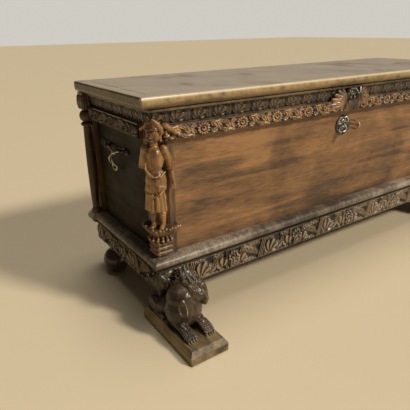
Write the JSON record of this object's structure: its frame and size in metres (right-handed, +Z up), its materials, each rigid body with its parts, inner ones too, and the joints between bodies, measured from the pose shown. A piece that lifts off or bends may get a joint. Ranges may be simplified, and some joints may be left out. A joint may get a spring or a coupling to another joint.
{
  "type": "cassone",
  "caption": "Long walnut marriage chest with hinged lid, carved friezes, soldier corner figures and crouching lion front feet.",
  "frame": {"origin": "on the floor, under the centre of the whole chest", "axes": "+X along the length, to the right when facing the front; the front faces -Y; +Z up"},
  "size_m": [1.724, 0.747, 0.7213],
  "materials": {
    "panel_walnut": "old waxed walnut boards with horizontal grain and dark patches",
    "post_walnut": "carved and turned walnut, waxed",
    "carved_walnut": "deeply carved walnut, dark in the ground and worn pale on the ridges",
    "figure_walnut": "carved walnut, warm brown and polished by wear",
    "torus_walnut": "worn walnut moulding, grey-brown",
    "foot_walnut": "dark glossy carved walnut",
    "plinth_walnut": "worn walnut, golden on the bevel",
    "lid_walnut": "faded walnut, pale grey-brown on top and golden at the edge",
    "dark_iron": "forged iron, darkened",
    "nail_iron": "forged iron nail heads",
    "bright_iron": "forged iron, rubbed bright",
    "pewter_iron": "forged iron, grey and rubbed",
    "key_bronze": "cast bronze, dull"
  },
  "bodies": {
    "chest": {"back_board": "panel_walnut", "ball_foot_left": "foot_walnut", "ball_foot_right": "foot_walnut", "base_block_left": "torus_walnut", "base_block_right": "torus_walnut", "base_rail_back": "panel_walnut", "bottom_board_back": "panel_walnut", "bottom_board_front": "panel_walnut", "capital_block_left": "carved_walnut", "capital_block_right": "carved_walnut", "case_nails": "nail_iron", "corner_post_left": "post_walnut", "corner_post_right": "post_walnut", "cornice_front": "carved_walnut", "cornice_left": "carved_walnut", "cornice_right": "carved_walnut", "end_board_left": "panel_walnut", "end_board_right": "panel_walnut", "escutcheon": "pewter_iron", "frieze_front": "carved_walnut", "frieze_left": "carved_walnut", "frieze_right": "carved_walnut", "front_board": "panel_walnut", "handle_eyes": "bright_iron", "handle_plate_left": "bright_iron", "handle_plate_right": "bright_iron", "hinge_pins": "dark_iron", "hinge_plate_left": "dark_iron", "hinge_plate_right": "dark_iron", "lion_left": "foot_walnut", "lion_plinth_left": "plinth_walnut", "lion_plinth_right": "plinth_walnut", "lion_right": "foot_walnut", "lock_case": "dark_iron", "lower_frieze_front": "carved_walnut", "lower_frieze_left": "carved_walnut", "lower_frieze_right": "carved_walnut", "mask": "carved_walnut", "rear_column_left": "post_walnut", "rear_column_right": "post_walnut", "rear_pilaster_left": "panel_walnut", "rear_pilaster_right": "panel_walnut", "soldier_left": "figure_walnut", "soldier_right": "figure_walnut", "torus_front": "torus_walnut", "torus_left": "torus_walnut", "torus_right": "torus_walnut"},
    "lid": {"hinge_strap_left": "dark_iron", "hinge_strap_right": "dark_iron", "lid_back_board": "lid_walnut", "lid_front_board": "lid_walnut", "lid_nails": "nail_iron", "lid_staple": "dark_iron"},
    "key": {"key": "key_bronze"},
    "bolt": {"lock_bolt": "dark_iron"},
    "bail_left": {"bail_left": "bright_iron"},
    "bail_right": {"bail_right": "bright_iron"}
  },
  "joints": [
    {"name": "lid_hinge", "type": "hinge", "parent": "chest", "child": "lid", "pos_m": [0, 0.3675, 0.68515], "axis": [-1, 0, 0], "range_deg": [0, 100]},
    {"name": "key_turn", "type": "hinge", "parent": "chest", "child": "key", "pos_m": [0, -0.124, 0.548], "axis": [0, -1, 0], "range_deg": [0, 90]},
    {"name": "bolt_slide", "type": "slide", "parent": "chest", "child": "bolt", "axis": [1, 0, 0], "range_m": [0, 0.012]},
    {"name": "bail_left_swing", "type": "hinge", "parent": "chest", "child": "bail_left", "pos_m": [-0.819, 0.146, 0.518], "axis": [0, 1, 0], "range_deg": [0, 110]},
    {"name": "bail_right_swing", "type": "hinge", "parent": "chest", "child": "bail_right", "pos_m": [0.819, 0.146, 0.518], "axis": [0, -1, 0], "range_deg": [0, 110]}
  ],
  "couplings": [
    {"joint": "bolt_slide", "follows": "key_turn", "m_per_rad": 0.00763}
  ]
}
